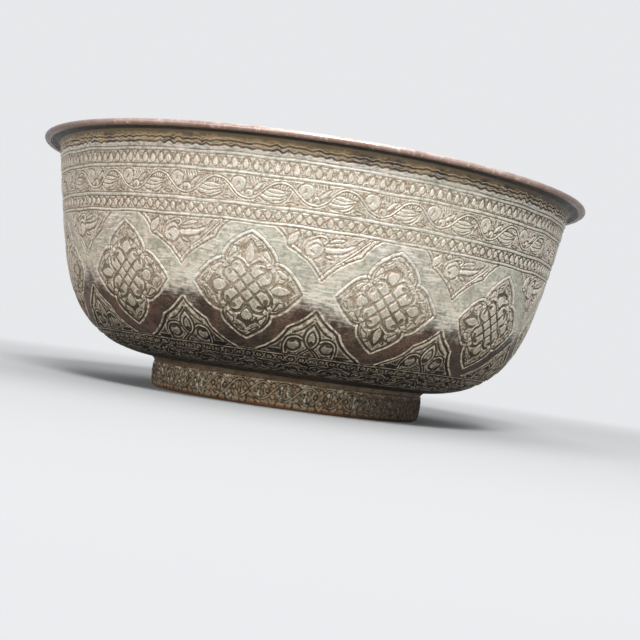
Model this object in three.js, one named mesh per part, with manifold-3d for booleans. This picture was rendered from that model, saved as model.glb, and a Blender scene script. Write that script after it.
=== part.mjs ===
// A tinned copper bowl on a soldered foot ring.
// Units are millimetres and +Z is up. The origin is the centre of the circle that the foot stands on.

import * as THREE from 'three';
import * as BufferGeometryUtils from 'three/addons/utils/BufferGeometryUtils.js';
import Module from 'manifold-3d';

// Bowl: the sheet, the rounded belly and the nearly upright wall
const SHEET = 1.2; // thickness of the raised copper sheet
const BASE_SAG = 2.2; // how far the centre of the bottom hangs below the seat on the foot
const SEAT_ANGLE = 4.9; // degrees by which the underside rises outwards where the foot is soldered on
const BELLY_RISE = 40.5; // from the seat up to the shoulder, where belly runs into wall
const BELLY_SPREAD = 25.9; // how long the belly keeps the seat's direction
const BELLY_FULLNESS = 25.3; // how long the belly keeps the wall's direction below the shoulder
const SHOULDER_RADIUS = 108.2; // outside radius at the shoulder
const SHOULDER_ANGLE = 13.9; // degrees by which the wall leans outwards at the shoulder
const WALL_RISE = 46.4; // from the shoulder up to the root of the flange
const WALL_BOW = 20; // how long the wall keeps the shoulder's lean
const WALL_FLARE = 9.1; // how much wider the wall is at the flange than at the shoulder

// Mouth: the flange turned outwards, with its edge folded under and hammered round
const FLANGE_BEND = 4; // radius of the bend under the flange
const FLANGE_REACH = 7.7; // from the wall's outside out to the rim
const HEM_THICKNESS = 2.4; // folded edge, top to bottom
const HEM_WIDTH = 3.2; // folded edge, from the rim inwards
const HEM_PROUD = 0.25; // how far the folded edge stands above the flange
const HEM_EASE = 0.3; // slope along the folded edge's inner side

// Foot: a strip bent into a ring, with its lower edge turned in
const FOOT_RADIUS = 62; // outside radius
const FOOT_HEIGHT = 12.9;
const FOOT_SHEET = 1.5; // thickness of the strip
const FOOT_BULGE = 0.4; // how far the strip bows out at half height
const FOOT_CORNER = 2; // outside radius of the rounded lower edge
const FOOT_LIP = 3; // width of the flat face that the bowl stands on
const SEAM_WIDTH = 0.8; // brazed gap between the strip's two ends, at the back
const CUT_MARGIN = 1; // how far the block that cuts the seam runs past the strip

// Solder between the ring's top edge and the underside
const SOLDER_FILM = 0.3; // least thickness, over the ring's inner corner
const SOLDER_TOE = 1.8; // how far the fillet spreads on the underside
const SOLDER_LEG = 1.5; // how far the fillet runs down the ring
const SOLDER_HOLLOW = 0.35; // share of the toe at the fillet's middle; the less, the hollower the fillet

// Facets
const TURN_STEPS = 96;
const BELLY_STEPS = 8;
const WALL_STEPS = 3;
const BEND_STEPS = 3;
const HEM_STEPS = 5;
const BASE_STEPS = 3;
const CORNER_STEPS = 4;

const FOOT_INNER = FOOT_RADIUS - FOOT_SHEET;
const seatSlope = Math.tan(THREE.MathUtils.degToRad(SEAT_ANGLE));
const wasm = await Module();
wasm.setup();

function point(radius, height) {
  return new THREE.Vector2(radius, height);
}

// Points along a curve, moved sideways by offset, towards the inside of the bowl where it is positive.
function along(curve, steps, offset = 0) {
  const points = [];
  for (let i = 0; i <= steps; i += 1) {
    const tangent = curve.getTangent(i / steps);
    const place = curve.getPoint(i / steps);
    points.push(point(place.x - offset * tangent.y, place.y + offset * tangent.x));
  }
  return points;
}

// Points on a round corner between two angles in degrees, counted from straight outwards.
function corner(centre, radius, from, to, steps) {
  const points = [];
  for (let i = 0; i <= steps; i += 1) {
    const angle = THREE.MathUtils.degToRad(from + ((to - from) * i) / steps);
    points.push(point(centre.x + radius * Math.cos(angle), centre.y + radius * Math.sin(angle)));
  }
  return points;
}

// A closed mesh with shared vertices and no empty triangles.
function closed(source) {
  const bare = source.clone();
  bare.deleteAttribute('normal');
  bare.deleteAttribute('uv');
  const merged = BufferGeometryUtils.mergeVertices(bare, 1e-4);
  const index = merged.getIndex().array;
  const kept = [];
  for (let i = 0; i < index.length; i += 3) {
    const [a, b, c] = [index[i], index[i + 1], index[i + 2]];
    if (a !== b && b !== c && c !== a) kept.push(a, b, c);
  }
  merged.setIndex(kept);
  return merged;
}

// A solid of revolution about +Z from a profile of radius and height.
function turned(profile) {
  const lathe = new THREE.LatheGeometry(profile, TURN_STEPS);
  lathe.rotateX(Math.PI / 2);
  return closed(lathe);
}

function toSolid(geometry) {
  const vertProperties = new Float32Array(geometry.getAttribute('position').array);
  const triVerts = new Uint32Array(geometry.getIndex().array);
  return new wasm.Manifold(new wasm.Mesh({ numProp: 3, vertProperties, triVerts }));
}

function fromSolid(solid) {
  const mesh = solid.getMesh();
  const geometry = new THREE.BufferGeometry();
  geometry.setAttribute('position', new THREE.BufferAttribute(new Float32Array(mesh.vertProperties), 3));
  geometry.setIndex(Array.from(mesh.triVerts));
  return geometry;
}

// Height of the underside over the seat, where the foot is soldered on.
function seatHeight(radius) {
  return FOOT_HEIGHT + SOLDER_FILM + (radius - FOOT_INNER) * seatSlope;
}

const toeInside = point(FOOT_INNER - SOLDER_TOE, seatHeight(FOOT_INNER - SOLDER_TOE));
const toeOutside = point(FOOT_RADIUS + SOLDER_TOE, seatHeight(FOOT_RADIUS + SOLDER_TOE));

// Outer curves of the bowl, from the centre of the bottom out to the root of the flange
function bowlCurves() {
  const seatAngle = THREE.MathUtils.degToRad(SEAT_ANGLE);
  const shoulderAngle = THREE.MathUtils.degToRad(SHOULDER_ANGLE);
  const shoulder = point(SHOULDER_RADIUS, toeOutside.y + BELLY_RISE);
  const lean = point(Math.sin(shoulderAngle), Math.cos(shoulderAngle));
  const bottom = point(0, toeInside.y - BASE_SAG);
  const seatReach = Math.min(BASE_SAG / seatSlope, toeInside.x / 2);
  const root = point(SHOULDER_RADIUS + WALL_FLARE, shoulder.y + WALL_RISE);
  return {
    base: new THREE.QuadraticBezierCurve(
      bottom,
      point(toeInside.x - seatReach, bottom.y),
      toeInside,
    ),
    belly: new THREE.CubicBezierCurve(
      toeOutside,
      point(toeOutside.x + BELLY_SPREAD * Math.cos(seatAngle), toeOutside.y + BELLY_SPREAD * Math.sin(seatAngle)),
      point(shoulder.x - BELLY_FULLNESS * lean.x, shoulder.y - BELLY_FULLNESS * lean.y),
      shoulder,
    ),
    wall: new THREE.QuadraticBezierCurve(
      shoulder,
      point(shoulder.x + WALL_BOW * lean.x, shoulder.y + WALL_BOW * lean.y),
      root,
    ),
    root,
  };
}

// The bowl's section: up the outside, round the folded edge, and down the inside.
function bowlProfile() {
  const { base, belly, wall, root } = bowlCurves();
  const rootTangent = wall.getTangent(1);
  const rootLean = THREE.MathUtils.radToDeg(Math.atan2(rootTangent.x, rootTangent.y));
  const bendCentre = point(root.x + FLANGE_BEND * rootTangent.y, root.y - FLANGE_BEND * rootTangent.x);
  const bendFrom = 180 - rootLean;
  const underside = bendCentre.y + FLANGE_BEND;
  const top = underside + SHEET;
  const rim = root.x + FLANGE_REACH;
  const hemTop = top + HEM_PROUD;
  const hemBottom = hemTop - HEM_THICKNESS;
  const hemInside = rim - HEM_WIDTH;
  const hemRound = HEM_THICKNESS / 2;
  return [
    ...along(base, BASE_STEPS),
    ...along(belly, BELLY_STEPS),
    ...along(wall, WALL_STEPS).slice(1),
    ...corner(bendCentre, FLANGE_BEND, bendFrom, 90, BEND_STEPS).slice(1),
    point(hemInside, underside),
    point(hemInside + HEM_EASE, hemBottom),
    ...corner(point(rim - hemRound, hemBottom + hemRound), hemRound, -90, 90, HEM_STEPS),
    point(hemInside, top),
    ...corner(bendCentre, FLANGE_BEND + SHEET, 90, bendFrom, BEND_STEPS),
    ...along(wall, WALL_STEPS, SHEET).reverse().slice(1),
    ...along(belly, BELLY_STEPS, SHEET).reverse().slice(1),
    ...along(base, BASE_STEPS, SHEET).reverse(),
  ];
}

// The strip's section, with the solder's leg marked on both faces so that the two pieces share those edges.
function footProfile() {
  const middle = (FOOT_HEIGHT + FOOT_CORNER) / 2;
  const legEnd = FOOT_HEIGHT - SOLDER_LEG;
  const flatOutside = FOOT_RADIUS - FOOT_CORNER;
  const flatInside = flatOutside - FOOT_LIP;
  return [
    point(FOOT_INNER, FOOT_HEIGHT),
    point(FOOT_INNER, legEnd),
    point(FOOT_INNER + FOOT_BULGE, middle),
    ...corner(point(flatOutside, FOOT_CORNER), FOOT_CORNER - FOOT_SHEET, 0, -90, 2),
    point(flatInside, FOOT_SHEET),
    point(flatInside, 0),
    ...corner(point(flatOutside, FOOT_CORNER), FOOT_CORNER, -90, 0, CORNER_STEPS),
    point(FOOT_RADIUS + FOOT_BULGE, middle),
    point(FOOT_RADIUS, legEnd),
    point(FOOT_RADIUS, FOOT_HEIGHT),
    point(FOOT_INNER, FOOT_HEIGHT),
  ];
}

// The solder sits astride the ring's top edge, with a hollow fillet on each side.
function solderProfile() {
  const legEnd = FOOT_HEIGHT - SOLDER_LEG;
  const filletReach = SOLDER_TOE * SOLDER_HOLLOW;
  const filletHeight = FOOT_HEIGHT - SOLDER_LEG * SOLDER_HOLLOW * SOLDER_HOLLOW;
  return [
    toeInside,
    point(FOOT_INNER - filletReach, filletHeight),
    point(FOOT_INNER, legEnd),
    point(FOOT_INNER, FOOT_HEIGHT),
    point(FOOT_RADIUS, FOOT_HEIGHT),
    point(FOOT_RADIUS, legEnd),
    point(FOOT_RADIUS + filletReach, filletHeight),
    toeOutside,
    toeInside,
  ];
}

// The gap between the strip's ends: a thin upright block across the ring, at the back
function seamBlock() {
  const depth = FOOT_LIP + FOOT_CORNER + FOOT_BULGE + 2 * CUT_MARGIN;
  const height = FOOT_HEIGHT + 2 * CUT_MARGIN;
  const block = new THREE.BoxGeometry(SEAM_WIDTH, depth, height);
  block.translate(0, FOOT_RADIUS + FOOT_BULGE + CUT_MARGIN - depth / 2, FOOT_HEIGHT / 2);
  return closed(block);
}

function named(name, geometry, material) {
  geometry.computeVertexNormals();
  const mesh = new THREE.Mesh(geometry, material);
  mesh.name = name;
  return mesh;
}

function metal(color, roughness) {
  return new THREE.MeshStandardMaterial({ color, roughness, metalness: 0.8, flatShading: true });
}

const ring = toSolid(turned(footProfile()));
const seam = toSolid(seamBlock());

const bowl = new THREE.Group();
bowl.add(named('bowl_body', turned(bowlProfile()), metal(0xb5aa97, 0.5)));
bowl.add(named('foot_ring', fromSolid(ring.subtract(seam)), metal(0x7d7060, 0.55)));
bowl.add(named('foot_seam', fromSolid(ring.intersect(seam)), metal(0xa8844a, 0.45)));
bowl.add(named('solder_joint', turned(solderProfile()), metal(0x6b5844, 0.6)));

export default bowl;
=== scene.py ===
# A tinned copper bowl with engraved bands and medallions, on a soldered foot ring.
# Sections and ornament are drawn in millimetres, and Blender's objects are in metres.
# The ornament is drawn on the unrolled outside: azimuth in degrees from the side seen in the photo,
# and path, the millimetres along the outer section from the foot to the rim.

import copy
import math

import bpy
import numpy as np
from mathutils import Matrix, Vector


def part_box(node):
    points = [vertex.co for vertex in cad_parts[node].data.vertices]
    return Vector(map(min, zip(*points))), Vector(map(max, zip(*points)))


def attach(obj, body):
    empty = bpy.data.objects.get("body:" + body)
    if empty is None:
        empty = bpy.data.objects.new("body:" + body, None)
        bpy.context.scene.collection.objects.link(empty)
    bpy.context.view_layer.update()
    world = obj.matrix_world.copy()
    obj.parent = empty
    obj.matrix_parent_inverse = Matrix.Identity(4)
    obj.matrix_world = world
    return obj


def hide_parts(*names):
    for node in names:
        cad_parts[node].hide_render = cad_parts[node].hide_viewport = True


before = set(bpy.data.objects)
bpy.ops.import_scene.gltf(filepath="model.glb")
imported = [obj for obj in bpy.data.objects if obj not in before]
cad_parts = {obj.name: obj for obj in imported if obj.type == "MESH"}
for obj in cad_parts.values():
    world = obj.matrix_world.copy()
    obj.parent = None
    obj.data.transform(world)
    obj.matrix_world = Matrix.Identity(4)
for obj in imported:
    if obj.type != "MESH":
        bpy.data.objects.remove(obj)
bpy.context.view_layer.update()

MM = 0.001
SEED = 7

# Sizes that the solids give, in millimetres
RIM_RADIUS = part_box("bowl_body")[1].x / MM
RIM_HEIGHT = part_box("bowl_body")[1].z / MM
FOOT_BULGED_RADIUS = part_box("foot_ring")[1].x / MM
FOOT_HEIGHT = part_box("foot_ring")[1].z / MM
SEAM_WIDTH = (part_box("foot_seam")[1].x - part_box("foot_seam")[0].x) / MM
TOE_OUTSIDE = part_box("solder_joint")[1].x / MM
TOE_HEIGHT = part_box("solder_joint")[1].z / MM

# The bowl's section, as in the solids
SHEET = 1.2
BASE_SAG = 2.2
SEAT_ANGLE = math.radians(4.9)
BELLY_RISE = 40.5
BELLY_SPREAD = 25.9
BELLY_FULLNESS = 25.3
SHOULDER_RADIUS = 108.2
SHOULDER_ANGLE = math.radians(13.9)
WALL_RISE = 46.4
WALL_BOW = 20
WALL_FLARE = 9.1
FLANGE_BEND = 4
HEM_THICKNESS = 2.4
HEM_WIDTH = 3.2
HEM_PROUD = 0.25
HEM_EASE = 0.3

# The foot's section, as in the solids
FOOT_BULGE = 0.4
FOOT_RADIUS = FOOT_BULGED_RADIUS - FOOT_BULGE
FOOT_SHEET = 1.5
FOOT_CORNER = 2
FOOT_LIP = 3
SOLDER_LEG = 1.5
SOLDER_TOE = TOE_OUTSIDE - FOOT_RADIUS
SOLDER_HOLLOW = 0.35

# Mesh steps: columns round the axis, millimetres between rows, and how far a row sits off to halve its columns
CARVED_COLUMNS = 2560
PLAIN_COLUMNS = 640
BASE_COLUMNS = 320
FOOT_COLUMNS = 1300
SOLDER_COLUMNS = 1280
SEAM_COLUMNS = 5
BASE_STEP = 3.0
BELLY_STEP = 1.0
CARVED_STEP = 0.3
LIP_STEP = 0.34
PLAIN_STEP = 1.7
FOOT_STEP = 0.3
SEAM_STEP = 0.5
UNDER_HALVING = 0.05
RIM_HALVING = 0.25

# The rows of the map that each surface takes, and the share of its rows that a half turn of the outside fills
OUTSIDE_MAP = (0.005, 0.685)
INSIDE_MAP = (0.695, 0.925)
UNDER_MAP = (0.935, 0.995)
TUBE_MAP = (0.01, 0.99)
HALF_TURN_MAP = 0.49

# Where the bowl's outside changes, as paths: the carving's ends, the flange's underside and the hem
CARVED_FROM = 13.0
CARVED_TO = 114
FLANGE_PATH = 116
HEM_PATH = 118

# Relief, in millimetres
CUT_DEPTH = 0.32
BURR_HEIGHT = 0.16
DENT_DEPTH = 0.05
MATTED_DEPTH = 0.14
PUNCH_DEPTH = 0.045
CUT_FLOOR = 0.1
BORDER_OFFSET = 0.95
BORDER_HALF = 0.55
BORDER_EDGE = 1.75
BORDER_EDGE_HALF = 0.11
HATCH_RISE = 0.45
HAMMER_DEPTH = 0.02

# Where unevenness fades in, as a start and a length: dents from the solder, from the rim and from the foot's edge,
# and hammer marks from the rim and from the middle
DENTS_FROM_SOLDER = (4, 8)
DENTS_FROM_RIM = (0, 6)
DENTS_FROM_EDGE = (1, 4)
MARKS_FROM_RIM = (8, 20)
MARKS_FROM_MIDDLE = (0, 30)

# The relief across a cut, in half widths of it: its edge, a pit's edge, the burr beside it, and its reach
CUT_EDGE = 1.15
PIT_EDGE = 0.8
BURR_MIDDLE = 2.0
BURR_SPREAD = 0.7
GROOVE_REACH = 3.4

FAR = 1e3
LAYERS = ("groove", "worked", "matted", "raised", "neck")

rng = np.random.default_rng(SEED)
INSIDE_WAVES = [(rng.integers(3, 60), rng.uniform(-0.45, 0.45), rng.uniform(0, 2 * np.pi)) for _ in range(24)]


# Curves in a plane

def bezier(points, steps):
    """Points along a Bezier curve with any number of control points."""
    t = np.linspace(0, 1, steps + 1)[:, None]
    level = [np.array(p, float) for p in points]
    while len(level) > 1:
        level = [(1 - t) * a + t * b for a, b in zip(level, level[1:])]
    return level[0]


def joined(*curves):
    """One line from Bezier curves end to end, each given by its control points and its steps."""
    first, *rest = [bezier(*curve) for curve in curves]
    return np.vstack([first] + [line[1:] for line in rest])


def arc(centre, radius, start, end, steps=8):
    """Points on a round arc between two angles in degrees. radius may be a pair, from start to end."""
    first, last = radius if isinstance(radius, tuple) else (radius, radius)
    turn = np.radians(np.linspace(start, end, steps + 1))
    size = np.linspace(first, last, steps + 1)
    return np.stack([centre[0] + size * np.cos(turn), centre[1] + size * np.sin(turn)], 1)


def lens(foot, tip, width, steps=6):
    """A closed pointed leaf between two points."""
    foot, tip = np.array(foot, float), np.array(tip, float)
    across = np.array([tip[1] - foot[1], foot[0] - tip[0]])
    across *= width / np.linalg.norm(across)
    there = bezier([foot, foot + across + (tip - foot) * 0.3, tip - (tip - foot) * 0.25 + across * 0.6, tip], steps)
    back = bezier([tip, tip - (tip - foot) * 0.25 - across * 0.6, foot - across + (tip - foot) * 0.3, foot], steps)
    return np.vstack([there, back[1:]])


def mirrored(half):
    """The left-hand half of a shape, backwards, from its right-hand half."""
    return half[::-1] * (-1, 1)


def whole(half):
    return np.vstack([half, mirrored(half)])


def closed(points):
    return np.vstack([points, points[:1]])


def length_along(points):
    steps = np.hypot(*np.diff(points, axis=0).T)
    return np.concatenate([[0], np.cumsum(steps)])


def spaced(points, step, start=0, end=None):
    """Points at even steps along a line, from start to end in millimetres along it."""
    run = length_along(points)
    end = run[-1] if end is None else end
    at = np.linspace(start, end, max(1, round((end - start) / step)) + 1)
    return np.stack([np.interp(at, run, points[:, 0]), np.interp(at, run, points[:, 1])], 1)


def side_of(points):
    """Unit vectors square to a section line, on its right-hand side, which is the outside of the metal."""
    along = np.gradient(points, axis=0)
    along /= np.linalg.norm(along, axis=1)[:, None]
    return np.stack([along[:, 1], -along[:, 0]], 1)


def fading(distance, start, length):
    """0 up to start, and then rising to 1 over length."""
    return np.clip((distance - start) / length, 0, 1)


# Engraving: what the graver and punches leave on an unrolled surface

class Engraving:
    """groove is the distance from the nearest cut's floor, in half widths of that cut. worked is 1 where there is
    ornament, and matted is 1 on its punched ground. raised is metal standing above the surface, from 0 to 1.
    neck is 1 above the tooled line. x and y are every vertex's place in the drawing, in millimetres, and span is
    half the width that each repeat of the drawing has."""

    def __init__(self, shape):
        self.groove = np.full(shape, GROOVE_REACH)
        self.worked, self.matted, self.raised, self.neck = np.zeros((4, *shape))
        self.x = self.y = self.span = None

    def at(self, x, y):
        """The same engraving, drawn on from another place."""
        other = copy.copy(self)
        other.x, other.y = x, y
        return other

    def turned(self, across, up=1):
        return self.at(self.x * across, self.y * up)

    def shifted(self, away):
        return self.at(self.x - away, self.y)

    def halves(self):
        """The same engraving from the right and from the left, for what is drawn on both sides."""
        return [self.turned(hand) for hand in (1, -1)]

    def near(self, points, margin=0):
        """The vertices within margin of a line's box."""
        low = points.min(0) - margin
        high = points.max(0) + margin
        return np.flatnonzero((self.x > low[0]) & (self.x < high[0]) & (self.y > low[1]) & (self.y < high[1]))

    def distance(self, points, margin):
        """The vertices within margin of a line's box, and how far each is from the line."""
        near = self.near(points, margin)
        x, y = self.x.flat[near], self.y.flat[near]
        best = np.full(len(near), float(margin))
        for (x0, y0), (x1, y1) in zip(points, points[1:]):
            dx, dy = x1 - x0, y1 - y0
            t = np.clip(((x - x0) * dx + (y - y0) * dy) / max(dx * dx + dy * dy, 1e-9), 0, 1)
            best = np.minimum(best, np.hypot(x - x0 - t * dx, y - y0 - t * dy))
        return near, best

    def inside(self, near, outline):
        """True where a vertex lies inside a closed outline."""
        x, y = self.x.flat[near], self.y.flat[near]
        odd = np.zeros(len(near), bool)
        for (x0, y0), (x1, y1) in zip(outline, outline[1:]):
            if y0 != y1:
                odd ^= ((y0 > y) != (y1 > y)) & (x < (x1 - x0) * (y - y0) / (y1 - y0) + x0)
        return odd

    def covered(self, outline):
        """The vertices inside a closed outline."""
        near = self.near(outline)
        return near[self.inside(near, outline)]

    def deepen(self, near, groove):
        self.groove.flat[near] = np.minimum(self.groove.flat[near], groove)

    def clear(self, near):
        self.groove.flat[near] = GROOVE_REACH
        self.matted.flat[near] = 0
        self.raised.flat[near] = 0

    def cut(self, points, half=0.3):
        """A groove through points."""
        near, gap = self.distance(np.asarray(points, float), CUT_FLOOR + half * GROOVE_REACH)
        self.deepen(near, np.maximum(gap - CUT_FLOOR, 0) / half)

    def pit(self, points, half=0.3):
        """A cut-away patch with a clean edge."""
        outline = closed(points)
        near, gap = self.distance(outline, half * GROOVE_REACH)
        gap = np.where(self.inside(near, outline), -gap, gap)
        self.deepen(near, np.clip(PIT_EDGE + gap / half, 0, GROOVE_REACH))

    def mat(self, points):
        """Punched ground inside an outline."""
        within = self.covered(closed(points))
        self.matted.flat[within] = 1
        self.worked.flat[within] = 1

    def hatch(self, points, spacing, slope, half):
        """Shallow parallel strokes inside an outline. slope is in degrees from level."""
        within = self.covered(closed(points))
        turn = math.radians(slope)
        place = (self.y.flat[within] * math.cos(turn) - self.x.flat[within] * math.sin(turn)) / spacing
        self.deepen(within, np.abs(place - np.floor(place) - 0.5) * spacing / half + HATCH_RISE)

    def leaf(self, points, half=0.28, slope=None, stroke=0.12):
        """A leaf over what was drawn before, with a cut round it, and hatched where a slope is given."""
        self.clear(self.covered(closed(points)))
        self.cut(closed(points), half)
        if slope is not None:
            self.hatch(points, 1.0, slope, stroke)

    def stem(self, points, half, cut=0.24):
        """A rounded stem over what was drawn before."""
        near, gap = self.distance(points, half)
        self.clear(near[gap < half])
        for offset in (half, -half):
            self.cut(points + side_of(points) * offset, cut)
        self.swell(points, half)

    def swell(self, points, half, height=1.0):
        """A rounded bar of metal left standing along points."""
        near, gap = self.distance(np.asarray(points, float), half)
        bar = height * np.sqrt(np.clip(1 - (gap / half) ** 2, 0, 1))
        self.raised.flat[near] = np.maximum(self.raised.flat[near], bar)

    def border(self, points, half):
        """An outline: a cut with a bar of metal standing along its right-hand side."""
        self.cut(points, half)
        self.swell(points + side_of(points) * BORDER_OFFSET, BORDER_HALF)

    def edging(self, points):
        """A fine line outside a border's bar."""
        self.cut(points + side_of(points) * BORDER_EDGE, BORDER_EDGE_HALF)

    def ring(self, path, at, half=0.2):
        """A line all the way round."""
        np.minimum(self.groove, np.maximum(np.abs(path - at) - CUT_FLOOR, 0) / half, out=self.groove)

    def hoop(self, path, at, half, height):
        """A rounded bar all the way round."""
        bar = height * np.sqrt(np.clip(1 - ((path - at) / half) ** 2, 0, 1))
        np.maximum(self.raised, bar, out=self.raised)

    def band(self, path, low, high):
        """Punched ground all the way round."""
        within = (path > low) & (path < high)
        self.matted[within] = 1
        self.worked[within] = 1

    def relief(self):
        """How far the surface stands out, in millimetres."""
        cut = np.clip(CUT_EDGE - self.groove, 0, 1)
        burr = np.exp(-(((self.groove - BURR_MIDDLE) / BURR_SPREAD) ** 2))
        punched = rng.normal(0, PUNCH_DEPTH, self.groove.shape) * self.matted
        return (self.raised + burr) * BURR_HEIGHT + punched - cut * CUT_DEPTH - self.matted * MATTED_DEPTH


def repeats(azimuth, y, count, first, scale, shift=0.25, lean=0.02, stretch=0.02):
    """Places across and up the nearest of count repeats round the axis, and which repeat it is. Each is set a
    little off, as a hand does. scale is millimetres a degree."""
    turn = (azimuth - first) * count / 360
    nearest = np.floor(turn + 0.5)
    number = nearest.astype(int) % count
    x = (turn - nearest) * 360 / count * scale
    move_x, move_y, slope, more = (rng.normal(0, size, count)[number] for size in (shift, shift, lean, stretch))
    return (x - move_x) * (1 + more) + slope * y, (y - move_y) * (1 + more) - slope * x, number


def ripple(azimuth, path, size, waves, spread, steepest=0.25):
    """Smooth seeded unevenness that closes on itself round the axis. size is its height, spread the most waves in
    a turn, and steepest how fast a wave leans along the path."""
    total = np.zeros(azimuth.shape)
    for _ in range(waves):
        turns = rng.integers(1, spread)
        slope = rng.uniform(-steepest, steepest)
        total += np.sin(np.radians(azimuth) * turns + path * slope + rng.uniform(0, 2 * np.pi))
    return total * size / math.sqrt(waves)


# Ornament of the bowl

MEDALLIONS = 12
MEDALLION_AZIMUTH = -11
MEDALLION_PATH = 59
MEDALLION_SCALE = 1.857
LOBE = [(9.5, 9.6), (10.5, 13.6), (5.2, 17.6), (0, 21.3)]
CELL = 2.15
CELL_HALF = 1.93
BLOCK_HALF = 4.7
CARTOUCHE_AZIMUTH = 4
VINE_SWING = 3.7
BEADS = 180
TOOLED_PATH = 111.7
RING_PATHS = (15.2, 26, 30, 31.2, 84, 85.3, 90, 91.5, 101.7, 103.1, 108.3, 109.7)
MATTED_BANDS = ((15.4, 29.8), (85.5, 89.8), (91.7, 101.5), (103.3, 108.1))


def medallion(work, kind):
    """A four-lobed medallion: two pairs of bands cross in its middle, and their ends curl in its lobes."""
    half = bezier(LOBE, 8)
    outline = np.vstack([half, mirrored(half)[1:]])
    x, y = work.x, work.y
    lobes = {"top": work, "left": work.at(y, -x), "bottom": work.at(x, -y), "right": work.at(y, x)}
    for side, lobe in lobes.items():
        lobe.border(outline, 0.26 if side == "top" else 0.34)
        lobe.mat(np.vstack([outline, [(0, 0)]]))
        lobe.hatch(outline, 1.25, 40, 0.1)
        if side != "bottom":
            lobe.edging(outline if side == "top" else outline[:len(outline) // 2])
    p, q = (x + y) / math.sqrt(2), (y - x) / math.sqrt(2)
    for run, side in ((p, q), (-p, q), (q, p), (-q, p)):
        work.at(run, side).pit(lens((4.4, 0), (13, 0), 1.2), 0.22)
    middle = work.at(p, q)
    middle.pit(np.array([(-1, -1), (1, -1), (1, 1), (-1, 1)]) * BLOCK_HALF, 0.2)
    for number, lobe in enumerate(lobes.values()):
        lobe_tip(lobe, (kind + number + 2) % 3)
        for half in lobe.halves():
            curled_arm(half)
    for right in (-1, 1):
        for up in (-1, 1):
            cell = np.array([(-1, -0.9), (0.9, -1), (1, 0.9), (-0.9, 1)]) * CELL_HALF + (right * CELL, up * CELL)
            middle.leaf(cell, 0.16, 90 if right == up else 0)


def curled_arm(work):
    """One end of a band, which leaves the middle, turns into the lobe and ends in a hook round a dark eye."""
    work.cut(bezier([(0, 6.9), (2, 7.8), (1.6, 10.6), (4.6, 10.9), (6.6, 10.2)], 9), 0.46)
    work.leaf(joined(
        ([(0.6, 5.8), (1.8, 7), (1.8, 9), (3.6, 9.6)], 5),
        ([(3.6, 9.6), (5.6, 10), (7.4, 9), (7.1, 7.2)], 5),
        ([(7.1, 7.2), (6.2, 6.2), (4.4, 5.4), (2.9, 3.6)], 4),
    ), 0.2, -45)
    work.pit([(7.1, 7.6), (5.9, 6.7), (4.5, 7), (3.9, 8.1), (4.8, 8.8), (6.3, 8.4)], 0.22)
    work.swell(bezier([(0, 8.9), (1.4, 9), (2.2, 12.4), (6.2, 12), (7.7, 8.8)], 10), 0.45)


def lobe_tip(work, kind):
    """What stands between a lobe's arms: a hatched pad under a dark crown, or a long leaf in a dark flame."""
    for half in work.halves():
        half.leaf([(8.3, 10.4), (8.2, 12.4), (6.2, 15.3), (4.9, 14.6), (4.9, 12.9), (6.3, 12.2)], 0.2, 60)
    if kind == 2:
        dark = np.array([(0.6, 9.4), (2.9, 11.2), (3.3, 13.4), (5.6, 15.7), (3.3, 15.3), (2.2, 16.4), (1.4, 17.6)])
        work.pit(np.vstack([dark, [(0, 19.2)], mirrored(dark)]), 0.26)
        work.leaf(lens((0, 9), (0, 17.5), 3.2), 0.2)
        work.hatch(lens((0, 9.8), (0, 16.8), 2.4), 1, 45, 0.12)
        for half in work.halves():
            half.leaf(lens((2.4, 15.6), (4.4, 16.7), 0.7), 0.2)
        return
    lean, deep = ((-0.5, 14.2), (0.4, 13.6))[kind]
    horn = np.array([(0, deep + 0.3), (2.7, 13.5), (3.8, 11.3), (4.4, 14), (1.2, 15.5), (0, 17.4)])
    work.pit(np.vstack([horn, mirrored(horn) * (0.94, 0.98)]) + (lean, 0), 0.26)
    pad = whole(bezier([(0, 8.2), (1.4, 9.6), (4.6, 11.6), (1.9, deep), (0, deep)], 9))
    work.leaf(pad + (lean / 2, 0), 0.2, 25, 0.14)
    for half in work.shifted(lean).halves():
        half.leaf(lens((0.9, 18.6), (4.8, 15.9), 0.8), 0.18)


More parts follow.
